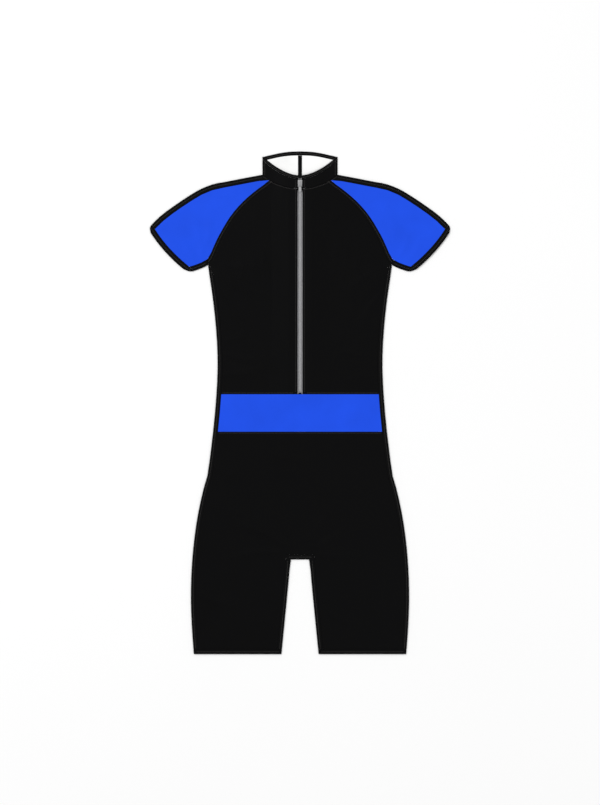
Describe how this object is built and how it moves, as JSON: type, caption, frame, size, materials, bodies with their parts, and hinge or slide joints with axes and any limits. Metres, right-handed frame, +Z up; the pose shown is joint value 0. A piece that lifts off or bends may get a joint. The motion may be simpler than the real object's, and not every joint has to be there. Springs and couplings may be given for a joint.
{
  "type": "unitard",
  "caption": "Short-sleeved, short-legged sports unitard laid flat, with raglan sleeves, a waistband, a stand collar and a front zip.",
  "frame": {"origin": "bottom centre of the whole garment's box, on the surface that it lies on", "axes": "+Z up out of the surface, through the back panels to the front ones; +Y from the leg hems to the collar; +X to the wearer's left"},
  "size_m": [0.6006, 1.005, 0.0082],
  "materials": {
    "black_knit": "smooth stretch knit, faint sheen",
    "blue_knit": "smooth stretch knit, faint sheen",
    "binding_knit": "folded knit strip with one row of topstitching",
    "zip_tape": "woven grey tape",
    "zip_coil": "grey nylon teeth",
    "zip_metal": "satin grey metal"
  },
  "bodies": {
    "garment": {"back_upper_left": "black_knit", "back_upper_right": "black_knit", "centre_back_tape": "binding_knit", "collar_binding_left": "binding_knit", "collar_binding_right": "binding_knit", "collar_left": "black_knit", "collar_right": "black_knit", "cuff_band_left": "binding_knit", "cuff_band_right": "binding_knit", "front_upper_left": "black_knit", "front_upper_right": "black_knit", "inseam_binding": "binding_knit", "leg_hem_band_left": "binding_knit", "leg_hem_band_right": "binding_knit", "over_arm_binding_left": "binding_knit", "over_arm_binding_right": "binding_knit", "raglan_tape_back_left": "binding_knit", "raglan_tape_back_right": "binding_knit", "raglan_tape_front_left": "binding_knit", "raglan_tape_front_right": "binding_knit", "shorts_back": "black_knit", "shorts_front": "black_knit", "side_binding_left": "binding_knit", "side_binding_right": "binding_knit", "sleeve_back_left": "blue_knit", "sleeve_back_right": "blue_knit", "sleeve_front_left": "blue_knit", "sleeve_front_right": "blue_knit", "under_arm_binding_left": "binding_knit", "under_arm_binding_right": "binding_knit", "waistband_back": "blue_knit", "waistband_front": "blue_knit", "zip_bottom_stop": "zip_metal", "zip_chain": "zip_coil", "zip_slider": "zip_metal", "zip_tape_left": "zip_tape", "zip_tape_right": "zip_tape", "zip_top_stop_left": "zip_metal", "zip_top_stop_right": "zip_metal"},
    "pull_tab": {"zip_pull_tab": "zip_metal"}
  },
  "joints": [
    {"name": "pull_tab_hinge", "type": "hinge", "parent": "garment", "child": "pull_tab", "pos_m": [0, 0.4375, 0.0064], "axis": [-1, 0, 0], "range_deg": [0, 165]}
  ]
}
